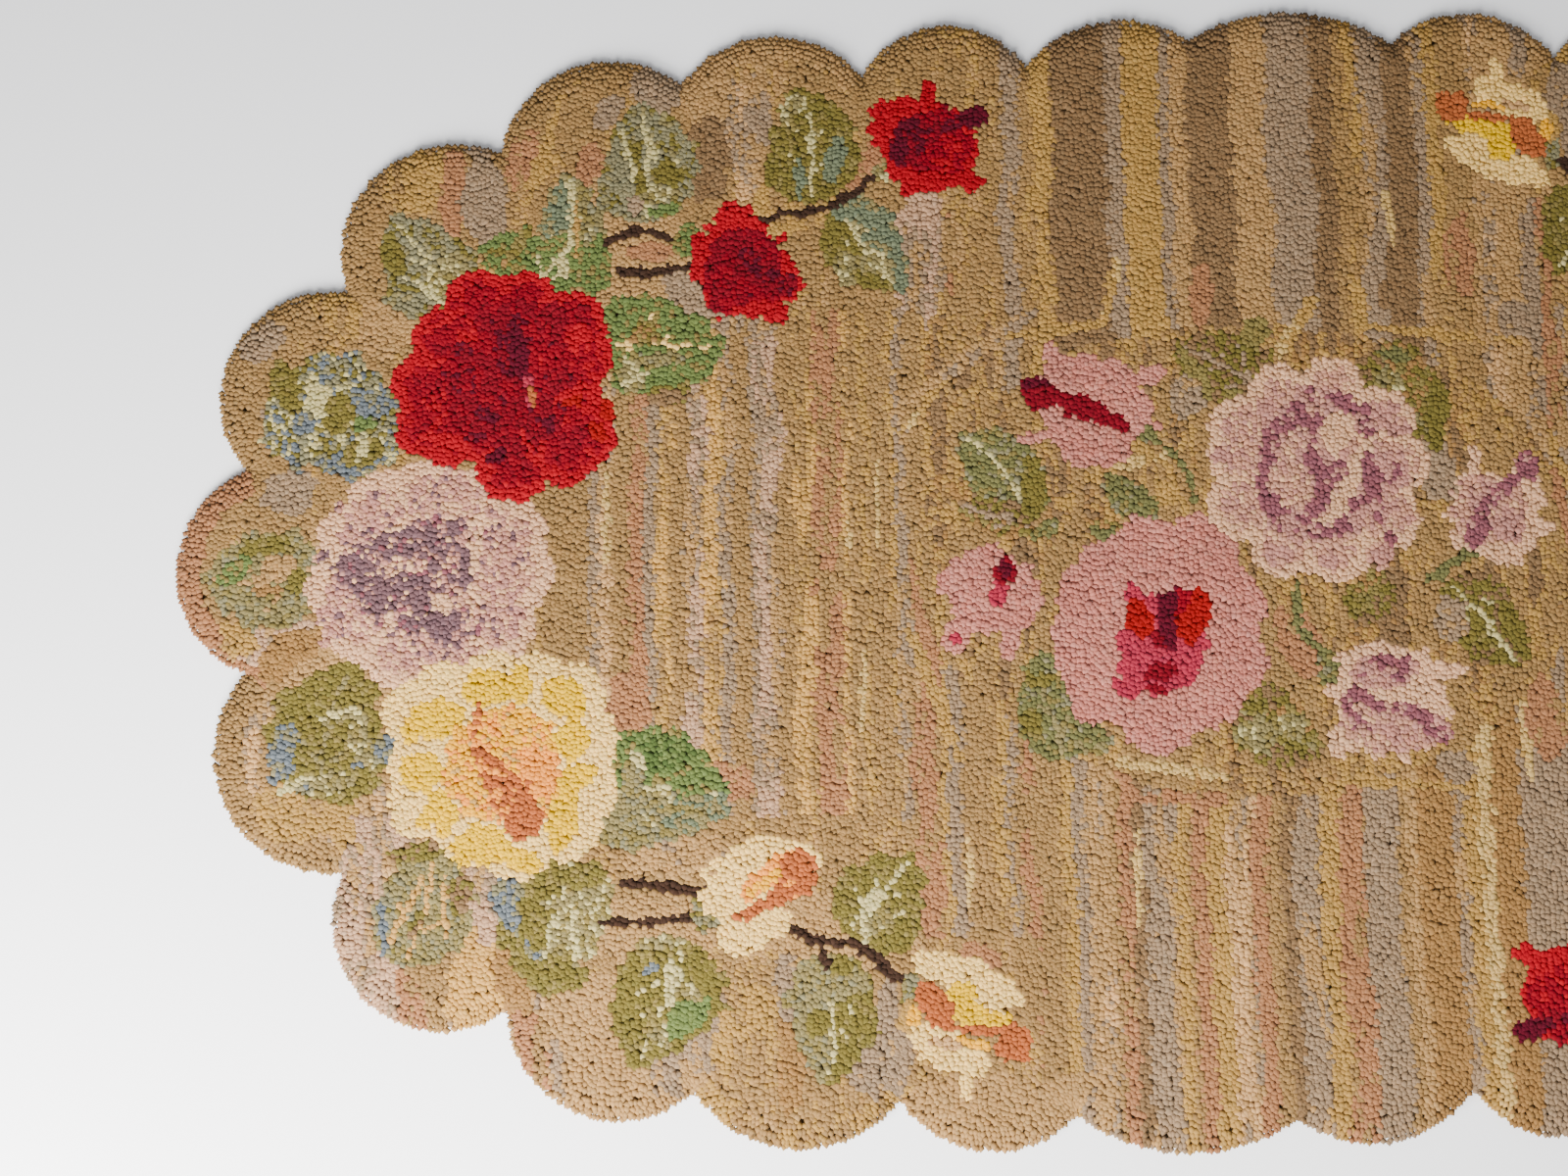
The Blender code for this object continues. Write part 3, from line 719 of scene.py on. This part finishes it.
class Chart:
    """The wool of each loop, laid down field by field as the rug is worked."""

    def __init__(self, x, y, seed, grain=0.4, stretch=1.0):
        """Draws a number for each loop that picks its wool in a blend: its place in the order of
        noise plus grain times a random draw, the noise being stretched along y by stretch."""
        self.x, self.y = x, y
        self.wool = np.zeros(len(x), int)
        rng = np.random.default_rng(seed)
        mottle = noise(x, y / stretch, 9.0, seed) + noise(x, y / stretch, 4.5, seed + 1) * 0.6
        speckle = rng.normal(0, 1, len(x))
        self.draw = self.ranked(mottle + speckle * grain)
        self.fine_draw = self.ranked(mottle * 0.6 + speckle * 0.8)
        self.ragged_edge = rng.normal(0, 1.2, len(x))

    def ranked(self, values):
        """Each value's place in their order, as a share of all of them."""
        places = np.empty(len(values))
        places[np.argsort(values)] = np.arange(len(values)) / len(values)
        return places

    def lay(self, where, blend):
        """Works the marked loops in that blend: each takes the wool in whose share its draw falls."""
        shares = BLENDS.get(blend, ((blend, 1.0),))
        ends = np.cumsum([share for _, share in shares])
        index = np.array([WOOL_NAMES.index(name) for name, _ in shares])
        draw = self.fine_draw if blend in FINE_BLENDS else self.draw
        pick = np.minimum(np.searchsorted(ends, draw[where]), len(shares) - 1)
        self.wool[where] = index[pick]

    def fields(self, rows, raggedness=0.2):
        """Ellipses of one blend each, laid where a loop lies inside."""
        for blend, *row in rows:
            self.lay(ellipse(self.x, self.y, row, raggedness) > 0, blend)

    def lines(self, rows):
        """Lines of one blend each, laid within half their width, which wanders by noise."""
        for blend, width, *points in rows:
            wander = noise(self.x, self.y, 9.0, 3) * 0.2 * width
            self.lay(stroke_distance(self.x, self.y, points) < width / 2 + wander, blend)

    def stripes(self, rows, where, seed):
        """Stripes across the rug: each starts at its x, moved by noise that changes along it."""
        wander = noise(self.x * 0.25, self.y, 42.0, seed) * 4.0 + noise(self.x, self.y, 9.0, seed) * 1.8
        moved = self.x + wander + self.ragged_edge
        starts = np.array([start for start, _ in rows])
        stripe = np.clip(np.searchsorted(starts, moved) - 1, 0, len(rows) - 1)
        for number, (_, blend) in enumerate(rows):
            self.lay(where & (stripe == number), blend)

    def rim_bands(self):
        """Bands of the end scallops, each as deep from the edge as its width."""
        depth, scallop = edge_depth(self.x, self.y)
        depth = depth + noise(self.x, self.y, 14.0, 5) * 2.5
        for number, (rim, rim_width, second, second_width) in enumerate(RIM_BANDS):
            here = scallop == number
            if second:
                self.lay(here & (depth < rim_width + second_width), second)
            if rim:
                self.lay(here & (depth < rim_width), rim)

    def rose(self, name):
        """A rose: the union of its round petals and its middle, in bands by the depth from its rim."""
        (middle_x, middle_y), core, petals = ROSES[name]
        depth = core - np.hypot(self.x - middle_x, self.y - middle_y)
        for angle, reach, radius in petals:
            petal_x = middle_x + reach * math.cos(math.radians(angle))
            petal_y = middle_y + reach * math.sin(math.radians(angle))
            depth = np.maximum(depth, radius - np.hypot(self.x - petal_x, self.y - petal_y))
        depth = depth + noise(self.x, self.y, 7.0, core) * 2.0
        start = 0
        for blend, end in ROSE_BANDS[name]:
            ragged = noise(self.x, self.y, 10.0, end) * 3.0 if start else 0
            self.lay((depth > 0) & (depth + ragged > start), blend)
            start = end

    def roses(self, *names):
        """Roses one after another."""
        for name in names:
            self.rose(name)

    def leaves(self, rows):
        """Leaves one after another."""
        for row in rows:
            self.leaf(row)

    def leaf(self, row):
        """A leaf: its half width is (1 - a)^0.75 (1 + a)^0.45 at the place a, from -1 at the base to 1
        at the tip, so that the tip is the more pointed. It has a toothed rim, a midrib and slanting
        side veins, and each side of the midrib has its own greens."""
        middle_x, middle_y, half_length, half_width, turn, left, right, vein = row
        cosine, sine = math.cos(math.radians(turn)), math.sin(math.radians(turn))
        along = ((self.x - middle_x) * cosine + (self.y - middle_y) * sine) / half_length
        across = ((self.y - middle_y) * cosine - (self.x - middle_x) * sine) / half_width
        across = across - 0.12 * np.sin(along * 2.2 + middle_x)
        body = np.clip(1 - along, 0, 2) ** 0.75 * np.clip(1 + along, 0, 2) ** 0.45
        teeth = 0.1 * np.abs(np.sin(along * 7.5)) + noise(self.x, self.y, 7.0, middle_y) * 0.12
        inside = (np.abs(along) < 1) & (np.abs(across) < body - 0.04 + teeth)
        self.lay(inside & (across > 0), left)
        self.lay(inside & (across <= 0), right)
        midrib = (np.abs(across) < 1.8 / half_width) & (along > -0.9) & (along < 0.82)
        slant = along - 0.8 * np.abs(across)
        side = (np.abs(slant + 0.55) < 1.5 / half_length) & (np.abs(across) < body * 0.62)
        side |= (np.abs(slant + 0.02) < 1.3 / half_length) & (np.abs(across) < body * 0.34)
        side &= noise(self.x, self.y, 30.0, turn) > -0.55
        self.lay(inside & (midrib | side), vein)


def work_chart(x, y):
    """The wool of each loop at x, y: the striped ground first, then leaves, stems, flowers and buds.
    The two ends are alike, turned half round, and the middle group is worked once."""
    turned = x > RIGHT_START
    chart = Chart(np.where(turned, -x, x), np.where(turned, -y, y), GROUND_SEED, grain=0.15, stretch=5.0)
    gx, gy = chart.x, chart.y
    wave = noise(gx, gy, 30.0, 8) * 6
    ring = np.hypot((gx - RING_X) / RING_HALF_LENGTH, gy / RING_HALF_WIDTH) + wave / 200
    left = (gx > LEFT_FROM) & (gx < LEFT_TO) & (np.abs(gy) < LEFT_HALF_WIDTH + wave)
    far = (gx > FAR_FROM + wave) & (gy > 0)
    near = (gx > NEAR_FROM + wave) & (gy <= 0) & ((gx > CORNER_X) | (gy > CORNER_Y))
    chart.lay(np.ones(len(x), bool), "end ground")
    chart.stripes(LEFT_STRIPES, left, seed=21)
    chart.stripes(FAR_STRIPES, far, seed=22)
    chart.stripes(NEAR_STRIPES, near, seed=23)
    chart.lay(ring < 1, "centre ground")
    chart.fields(CENTRE_FIELDS)
    chart.rim_bands()
    chart.fields(END_FIELDS)
    wool = chart.wool
    for sign in (1, -1):
        chart = Chart(sign * x, sign * y, END_SEED + sign)
        chart.wool = wool
        chart.leaves(END_LEAVES)
        chart.fields(END_TOUCHES, 0.3)
        chart.lines(END_STEMS)
        chart.roses("lavender")
        chart.fields(LAVENDER_DETAILS, 0.5)
        chart.roses("yellow", "red")
        chart.fields(END_DETAILS)
        wool = chart.wool
    chart = Chart(x, y, MIDDLE_SEED)
    chart.wool = wool
    chart.leaves(CENTRE_LEAVES)
    chart.fields(CENTRE_TOUCHES, 0.3)
    chart.lines(CENTRE_STEMS)
    chart.roses("pink", "lilac")
    chart.fields(CENTRE_DETAILS)
    chart.lines(CENTRE_LINES)
    return chart.wool


def edge_loops(rng):
    """Loops of the rows that follow the edge: for each row, points round each scallop's circle less
    the inset and round each notch at the inset, kept where no other part of the edge is nearer."""
    found = []
    for inset, pitch, half_out, half_along, height, lean in EDGE_ROWS:
        circles = [(centre, radius - inset, 1) for centre, radius in zip(CENTRES, RADII)]
        circles += [(notch, inset, -1) for notch in NOTCHES]
        for centre, radius, outwards in circles:
            count = max(3, int(2 * math.pi * radius / pitch))
            angle = (np.arange(count) + rng.random()) * 2 * math.pi / count
            angle = angle + rng.normal(0, 0.2, count) * pitch / radius
            reach = radius + rng.normal(0, 0.6, count)
            x, y = centre[0] + reach * np.cos(angle), centre[1] + reach * np.sin(angle)
            depth, _ = edge_depth(centre[0] + radius * np.cos(angle), centre[1] + radius * np.sin(angle))
            rows = np.column_stack([
                x, y, angle, np.full(count, half_out), np.full(count, half_along), np.full(count, height),
                outwards * lean * np.cos(angle), outwards * lean * np.sin(angle),
            ])
            found.append(rows[depth > inset - 0.4])
    return np.concatenate(found)


def inner_loops(rng):
    """Loops of the rows across the rug: a lattice with every other row half a loop along, each
    loop moved a little at random, kept inside the rows that follow the edge."""
    rows = np.arange(-LOOPS_HALF_X, LOOPS_HALF_X + 1, ROW_PITCH)
    along = np.arange(-LOOPS_HALF_Y, LOOPS_HALF_Y + 1, LOOP_PITCH)
    x, y = np.meshgrid(rows, along, indexing="ij")
    start = rng.random(len(rows))[:, None] * LOOP_PITCH
    y = y + start + rng.normal(0, 0.52, y.shape)
    x = x + rng.normal(0, 0.48, x.shape) + noise(x, y, 40.0, 4) * 2.6
    x, y = x + noise(x, y, 14.0, 41) * 1.3, y + noise(x, y, 14.0, 42) * 1.3
    x, y = x.ravel(), y.ravel()
    depth, _ = edge_depth(x, y)
    keep = depth > EDGE_ROWS[-1][0] + ROW_PITCH * 0.6
    x, y = x[keep], y[keep]
    count = len(x)
    return np.column_stack([
        x, y, rng.random(count) * 2 * math.pi, rng.normal(3.8, 0.3, count), rng.normal(3.4, 0.25, count),
        np.full(count, PILE_HEIGHT), rng.normal(0, 0.45, count), rng.normal(0, 0.45, count),
    ])


LOOP_SIDES = 4
LOOP_LIFT = 0.1  # how far a loop's foot stands off the cloth

# One loop of pile: its foot, four corners of its widest part and its top.
# turn in quarters, reach and height as shares of the loop's own, and light: painted shade and highlight,
# the factor on the loop's colour there, darker at the foot and the widest part and lighter at the top
LOOP_CORNERS = (
    (0, 0.0, 0.0, 0.7),
    (0, 1.0, 0.81, 0.9), (1, 1.0, 0.81, 0.9), (2, 1.0, 0.81, 0.9), (3, 1.0, 0.81, 0.9),
    (0, 0.0, 1.0, 1.04),
)
LOOP_FACES = tuple(
    face for side in range(LOOP_SIDES) for face in (
        (1 + side, 1 + (side + 1) % LOOP_SIDES, 1 + LOOP_SIDES), (1 + (side + 1) % LOOP_SIDES, 1 + side, 0))
)


def loop_mesh_arrays(loops, colours, rng):
    """Corners, faces and corner colours of all the loops: the one loop stretched to each loop's half
    sizes, turned by its angle, leaning at the top, and its colour darkened by painted shade down in
    the pile and lightened by a painted highlight at its top."""
    x, y, angle, half_long, half_short, height, lean_x, lean_y = loops.T
    quarters, reach, level, light = np.array(LOOP_CORNERS).T
    count = len(x)
    spread = reach * (1 + rng.normal(0, 0.1, (count, len(reach))))
    local = quarters * 2 * math.pi / LOOP_SIDES
    u = half_long[:, None] * spread * np.cos(local)
    v = half_short[:, None] * spread * np.sin(local)
    cosine, sine = np.cos(angle)[:, None], np.sin(angle)[:, None]
    base = FOUNDATION_TOP + LOOP_LIFT
    top = height + rng.normal(0, 0.17, count) + noise(x, y, 11.0, 43) * 0.2 + noise(x, y, 55.0, 9) * 0.3
    px = x[:, None] + u * cosine - v * sine + lean_x[:, None] * level
    py = y[:, None] + u * sine + v * cosine + lean_y[:, None] * level
    pz = base + (top[:, None] - base) * level
    points = np.stack([px, py, pz], axis=-1).reshape(-1, 3) * MM
    faces = (np.array(LOOP_FACES)[None] + (np.arange(count) * len(reach))[:, None, None]).reshape(-1, 3)
    # painted shade and highlight: each corner's colour times its light factor from LOOP_CORNERS
    shade = light[None, :, None] * colours[:, None, :]
    return points, faces, np.clip(shade, 0, 1).reshape(-1, 3)


def yarn_colours(wool, x, y, rng):
    """The colour of each loop: that of its wool, a little lighter or darker from loop to loop and
    from dye lot to dye lot."""
    base = np.array([linear(WOOLS[name]) for name in WOOL_NAMES])[wool]
    value = 1 + rng.normal(0, 0.06, len(wool)) + noise(x, y, 26.0, 31) * 0.05 + noise(x, y, 70.0, 32) * 0.05
    warmth = rng.normal(0, 0.02, len(wool))
    tint = np.column_stack([1 + warmth, np.ones(len(wool)), 1 - warmth])
    return base * np.clip(value, 0.6, 1.4)[:, None] * tint


def mesh_object(name, points, faces, colours=None, uvs=None):
    """An object from whole arrays of points, faces, colours at the points and places on its map."""
    mesh = bpy.data.meshes.new(name)
    mesh.vertices.add(len(points))
    mesh.vertices.foreach_set("co", np.ascontiguousarray(points, np.float32).ravel())
    mesh.loops.add(faces.size)
    mesh.loops.foreach_set("vertex_index", np.ascontiguousarray(faces, np.int32).ravel())
    mesh.polygons.add(len(faces))
    mesh.polygons.foreach_set("loop_start", np.arange(0, faces.size, faces.shape[1], dtype=np.int32))
    mesh.polygons.foreach_set("use_smooth", np.ones(len(faces), bool))
    if colours is not None:
        attribute = mesh.color_attributes.new("yarn", "FLOAT_COLOR", "POINT")
        rgba = np.ones((len(points), 4), np.float32)
        rgba[:, :3] = colours
        attribute.data.foreach_set("color", rgba.ravel())
    if uvs is not None:
        layer = mesh.uv_layers.new(name="OFBake")
        layer.data.foreach_set("uv", np.ascontiguousarray(uvs[faces.ravel()], np.float32).ravel())
    mesh.update(calc_edges=True)
    mesh.validate()
    made = bpy.data.objects.new(name, mesh)
    bpy.context.scene.collection.objects.link(made)
    return made


MAP_MARGIN, MAP_SHARE = 0.01, 0.98  # of the map, left free at its sides and filled between them


def flat_map(points, low, high):
    """Places on a map seen from above, the box from low to high filling it with a small margin."""
    size = (high - low).max()
    return MAP_MARGIN + MAP_SHARE * (points[:, :2] - low) / size


def node(tree, kind, inputs=None, **settings):
    """Adds a node with its settings; inputs hold constants or the sockets to link from."""
    made = tree.nodes.new(kind)
    for key, value in settings.items():
        setattr(made, key, value)
    for key, value in (inputs or {}).items():
        if isinstance(value, bpy.types.NodeSocket):
            tree.links.new(value, made.inputs[key])
        else:
            made.inputs[key].default_value = value
    return made


def new_material(name):
    """An empty material with a shader and its output."""
    material = bpy.data.materials.new(name)
    material.use_nodes = True
    return material, material.node_tree, material.node_tree.nodes["Principled BSDF"]


# Sizes and colours in the materials, lengths in metres.
WAVE_LENGTH = 0.314  # of a wave texture of scale 1
THREAD_PITCH = 0.0014  # between the threads of the cloth
STITCH_LENGTH, STITCH_PITCH, STITCH_GAP = 0.0043, 0.00425, 0.0007  # of the flat stitches on the back
FIBRE_SCALE = 1400.0  # of the noise that stands for the fibres, features to the metre
JUTE_DARK, JUTE_LIGHT, JUTE_HEM = "#7f6645", "#b89b70", "#ab8f66"
BACK_SHADE = 0.9  # the share of the yarn's colour in the pile that it is given on the back


def wool_yarn():
    """Loosely spun wool: matt, its scales give a soft sheen at grazing angles; the yarn's plies and
    stray fibres show as a fine bump about 0.7 mm across and a slight unevenness of colour."""
    material, tree, shader = new_material("wool yarn")
    place = node(tree, "ShaderNodeTexCoord").outputs["Object"]
    # the yarn colours of the pile carry painted shade at the loops' feet and a painted highlight at their
    # tops
    yarn = node(tree, "ShaderNodeAttribute", attribute_name="yarn").outputs["Color"]
    fibres = node(tree, "ShaderNodeTexNoise", {"Vector": place, "Scale": FIBRE_SCALE, "Detail": 3.0})
    unevenness = {"Value": fibres.outputs["Fac"], "To Min": 0.84, "To Max": 1.16}
    uneven = node(tree, "ShaderNodeMapRange", unevenness)
    colour = node(tree, "ShaderNodeMix", {"Factor": 1.0, 6: yarn, 7: uneven.outputs["Result"]},
                  data_type="RGBA", blend_type="MULTIPLY")
    relief = {"Strength": 0.5, "Distance": 0.0004, "Height": fibres.outputs["Fac"]}
    bump = node(tree, "ShaderNodeBump", relief)
    tree.links.new(colour.outputs[2], shader.inputs["Base Color"])
    tree.links.new(bump.outputs["Normal"], shader.inputs["Normal"])
    shader.inputs["Roughness"].default_value = 0.92
    shader.inputs["IOR"].default_value = 1.45
    shader.inputs["Specular IOR Level"].default_value = 0.05
    shader.inputs["Sheen Weight"].default_value = 0.01
    shader.inputs["Sheen Roughness"].default_value = 0.5
    return material


def foundation_cloth_material():
    """Burlap of jute: coarse, dull tan threads about 1.4 mm apart in a plain weave. On the back the
    flat stitches of the hooking cover most of it in rows as wide as the rows of pile."""
    material, tree, shader = new_material("jute burlap")
    place = node(tree, "ShaderNodeTexCoord").outputs["Object"]
    yarn = node(tree, "ShaderNodeAttribute", attribute_name="yarn").outputs["Color"]
    thread = {"Vector": place, "Scale": WAVE_LENGTH / THREAD_PITCH, "Distortion": 1.0, "Detail": 1.0,
              "Detail Scale": 3.0}
    threads = [node(tree, "ShaderNodeTexWave", thread, bands_direction=axis) for axis in ("X", "Y")]
    weave = node(tree, "ShaderNodeMath", {0: threads[0].outputs["Fac"], 1: threads[1].outputs["Fac"]},
                 operation="MULTIPLY")
    jute = node(tree, "ShaderNodeMix", {"Factor": weave.outputs[0], 6: (*linear(JUTE_DARK), 1),
                                        7: (*linear(JUTE_LIGHT), 1)}, data_type="RGBA")
    across = node(tree, "ShaderNodeMapping", {"Vector": place, "Rotation": (0, 0, math.pi / 2)})
    stitch = node(tree, "ShaderNodeTexBrick", {
        "Vector": across.outputs[0],
        "Color1": (1, 1, 1, 1), "Color2": (0.8, 0.8, 0.8, 1), "Mortar": (0, 0, 0, 1), "Scale": 1.0,
        "Mortar Size": STITCH_GAP, "Mortar Smooth": 0.3, "Brick Width": STITCH_LENGTH,
        "Row Height": STITCH_PITCH})
    colour = node(tree, "ShaderNodeMix", {"Factor": stitch.outputs["Color"], 6: jute.outputs[2], 7: yarn},
                  data_type="RGBA")
    height = node(tree, "ShaderNodeMath", {0: weave.outputs[0], 1: 0.4, 2: stitch.outputs["Color"]},
                  operation="MULTIPLY_ADD")
    bump = node(tree, "ShaderNodeBump", {"Strength": 0.6, "Distance": 0.0006, "Height": height.outputs[0]})
    tree.links.new(colour.outputs[2], shader.inputs["Base Color"])
    tree.links.new(bump.outputs["Normal"], shader.inputs["Normal"])
    shader.inputs["Roughness"].default_value = 0.9
    shader.inputs["Specular IOR Level"].default_value = 0.25
    return material


def inset_outline(inset, steps=16):
    """Points of the outline moved inwards, anticlockwise: each scallop's arc with its radius less the
    inset, from notch to notch."""
    points = []
    for number, (centre, radius) in enumerate(zip(CENTRES, RADII)):
        ends = [NOTCHES[number], NOTCHES[(number + 1) % len(NOTCHES)]]
        first, last = [math.atan2(*(end - centre)[::-1]) for end in ends]
        angles = first + np.linspace(0, (last - first) % (2 * math.pi), steps, endpoint=False)
        reach = radius - inset
        points.append(centre + reach * np.column_stack([np.cos(angles), np.sin(angles)]))
    return np.concatenate(points)


def fill(points, rim_count):
    """Triangles that fill the ring of the first rim_count points, through all the points."""
    rim = [(i, (i + 1) % rim_count) for i in range(rim_count)]
    _, _, faces, sources, _, _ = delaunay_2d_cdt(points.tolist(), rim, [], 1, 1e-6)
    return np.array([[sources[v][0] for v in face] for face in faces])


# Rings of the foundation cloth, from the top's rim round the fold of the hem to its inner edge.
# inset from the outline, height
CLOTH_RINGS = ((3.4, 2.0), (2.2, 1.7), (1.8, 1.0), (2.2, 0.25), (3.4, 0.0), (15.0, 0.0), (15.6, 0.7))


def foundation_cloth():
    """The woven cloth, closed: rings of the outline from the top round the turned hem to the hem's
    inner edge, the top filled between its rim and the underside filled through a lattice, whose
    points carry the colours that show through on the back."""
    rings = [inset_outline(inset) for inset, _ in CLOTH_RINGS]
    count = len(rings[0])
    along = np.arange(-BACK_HALF_X, BACK_HALF_X + 1, BACK_PITCH)
    across = np.arange(-BACK_HALF_Y, BACK_HALF_Y + 1, BACK_PITCH)
    lattice = np.stack(np.meshgrid(along, across), axis=-1).reshape(-1, 2)
    depth, _ = edge_depth(*lattice.T)
    under = np.concatenate([rings[-1], lattice[depth > CLOTH_RINGS[-1][0] + 4]])
    levels = [height for _, height in CLOTH_RINGS]
    flat = [np.column_stack([ring, np.full(count, level)]) for ring, level in zip(rings[:-1], levels)]
    points = np.concatenate([*flat, np.column_stack([under, np.full(len(under), levels[-1])])])
    under_start = (len(rings) - 1) * count
    step = np.arange(count)
    after = (step + 1) % count
    bands = []
    for level in range(len(rings) - 1):
        upper, lower = level * count, (level + 1) * count
        bands.append(np.column_stack([upper + step, lower + step, lower + after]))
        bands.append(np.column_stack([upper + step, lower + after, upper + after]))
    underside = fill(under, count)[:, ::-1] + under_start
    faces = np.concatenate([fill(rings[0], count), *bands, underside])
    rng = np.random.default_rng(BACK_SEED)
    wool = work_chart(points[:, 0], points[:, 1])
    colours = yarn_colours(wool, points[:, 0], points[:, 1], rng) * BACK_SHADE
    colours[:under_start] = linear(JUTE_HEM)
    low = points[:, :2].min(axis=0)
    uvs = flat_map(points, low, points[:, :2].max(axis=0))
    made = mesh_object("foundation_cloth", points * MM, faces, colours, uvs)
    made.data.materials.append(foundation_cloth_material())
    return made


def pile():
    """The pile in six fields: all the loops, sorted into fields by their places."""
    rng = np.random.default_rng(PILE_SEED)
    loops = np.concatenate([edge_loops(rng), inner_loops(rng)])
    colours = yarn_colours(work_chart(loops[:, 0], loops[:, 1]), loops[:, 0], loops[:, 1], rng)
    material = wool_yarn()
    pieces = []
    for row, names in enumerate(FIELD_NAMES):
        for column, name in enumerate(names):
            here = (loops[:, 1] > 0) == (row == 1)
            here &= (loops[:, 0] > FIELD_EDGES_X[column]) & (loops[:, 0] <= FIELD_EDGES_X[column + 1])
            points, faces, shades = loop_mesh_arrays(loops[here], colours[here], rng)
            low, high = points[:, :2].min(axis=0), points[:, :2].max(axis=0)
            made = mesh_object(name, points, faces, shades, flat_map(points, low, high))
            made.data.materials.append(material)
            pieces.append(made)
    return pieces


FLOOR_HALF = 6.0  # half the floor's side, metres


def floor():
    """A seamless pale studio floor."""
    corners = np.array([(-1, -1, 0), (1, -1, 0), (1, 1, 0), (-1, 1, 0)]) * FLOOR_HALF
    made = mesh_object("studio_floor", corners, np.array([(0, 1, 2, 3)]))
    material, _, shader = new_material("pale painted board")
    shader.inputs["Base Color"].default_value = (*linear("#f4f4f6"), 1)
    shader.inputs["Roughness"].default_value = 0.45
    made.data.materials.append(material)


SOFT_WHITE = (1.0, 0.99, 0.97)


def area_light(name, place, target, size, power, colour):
    """A soft box at place that shines at target."""
    light = bpy.data.lights.new(name, "AREA")
    light.shape, light.size, light.energy, light.color = "SQUARE", size, power, colour
    made = bpy.data.objects.new(name, light)
    made.location = place
    made.rotation_euler = (Vector(target) - Vector(place)).to_track_quat("-Z", "Y").to_euler()
    bpy.context.scene.collection.objects.link(made)


def lights():
    """One large soft box low on the near side, a small one by the near left corner, an even sky."""
    area_light("soft box", (-0.55, -1.25, 1.0), (-0.5, -0.3, 0.0), 1.0, 79, SOFT_WHITE)
    area_light("corner box", (-1.1, -0.85, 0.45), (-0.8, -0.45, 0.0), 0.5, 32, SOFT_WHITE)
    world = bpy.data.worlds.new("studio")
    bpy.context.scene.world = world
    world.use_nodes = True
    sky = world.node_tree.nodes["Background"]
    sky.inputs["Color"].default_value = (0.95, 0.97, 1.0, 1)
    sky.inputs["Strength"].default_value = 0.48


CAMERA_TILT = 8.5  # degrees from straight down, leaning back from the near side
CAMERA_DISTANCE = 1.33  # metres, as the target and its height are
CAMERA_TARGET = (-0.3276, -0.0229, 0.008)
CAMERA_LENS = 42.75  # millimetres, behind a picture 36 mm wide
CAMERA_WIDTH = 36.0


def camera():
    """The photo's view: almost straight down on the left two thirds of the rug."""
    made = bpy.data.objects.new("camera", bpy.data.cameras.new("camera"))
    made.data.lens = CAMERA_LENS
    made.data.sensor_width = CAMERA_WIDTH
    made.data.clip_start = 0.05
    tilt = math.radians(CAMERA_TILT)
    x, y, z = CAMERA_TARGET
    made.location = (x, y - CAMERA_DISTANCE * math.sin(tilt), z + CAMERA_DISTANCE * math.cos(tilt))
    made.rotation_euler = (tilt, 0, 0)
    bpy.context.scene.collection.objects.link(made)
    bpy.context.scene.camera = made


floor()
cloth = foundation_cloth()
tufts = pile()
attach(cloth, "root")
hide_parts("hooked_rug")
for tuft in tufts:
    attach(tuft, "root")
    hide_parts("hooked_rug")
lights()
camera()
